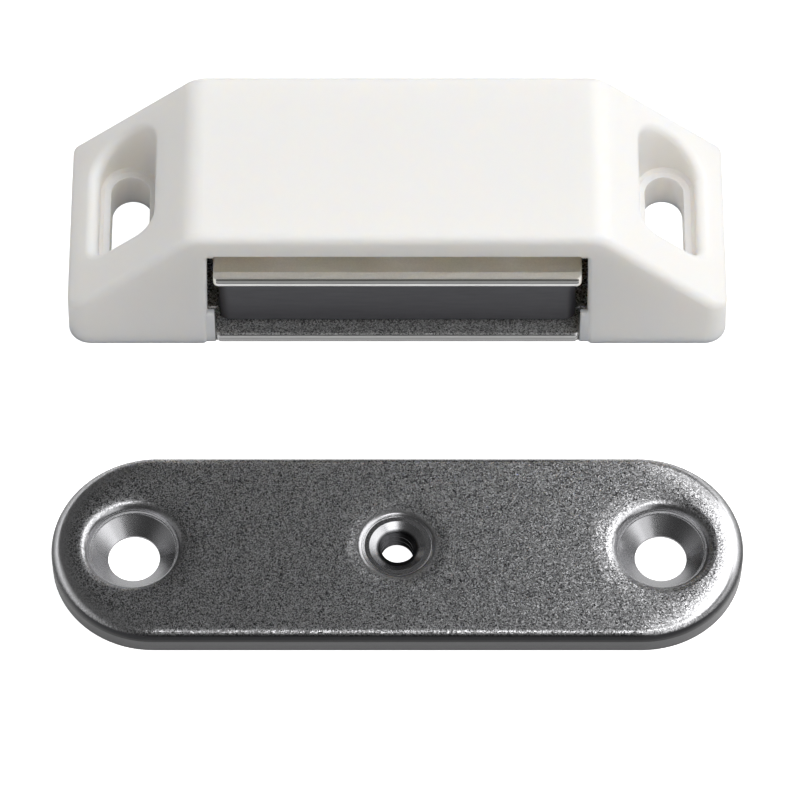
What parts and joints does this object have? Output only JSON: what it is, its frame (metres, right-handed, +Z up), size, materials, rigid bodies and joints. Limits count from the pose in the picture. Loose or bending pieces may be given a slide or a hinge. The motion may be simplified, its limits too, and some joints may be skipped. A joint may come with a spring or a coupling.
{
  "type": "magnetic catch",
  "caption": "Screw-on magnetic cabinet catch: a white moulded body with slotted wings holds a floating magnet pack, with a separate pressed steel counter plate.",
  "frame": {"origin": "under the middle of the laid-out set, on the plane that both pieces lie on", "axes": "+X along the catch and the counter plate, +Y from the counter plate to the catch, whose mouth faces -Y, and +Z up, away from the mounting faces"},
  "size_m": [0.06, 0.0496, 0.016],
  "materials": {
    "white_plastic": "satin moulded, very slightly warm white",
    "ferrite": "ground ceramic, matt dark grey",
    "plated_steel": "zinc plated, sheared edges",
    "blasted_steel": "nickel plated over a fine grain, smooth where it is drawn"
  },
  "bodies": {
    "catch_body": {"housing": "white_plastic", "counter_plate": "blasted_steel"},
    "magnet_pack": {"inner_pole_plate": "plated_steel", "magnet": "ferrite", "outer_pole_plate": "plated_steel"}
  },
  "joints": [
    {"name": "magnet_float", "type": "slide", "parent": "catch_body", "child": "magnet_pack", "axis": [0, -1, 0], "range_m": [0, 0.0006]}
  ]
}
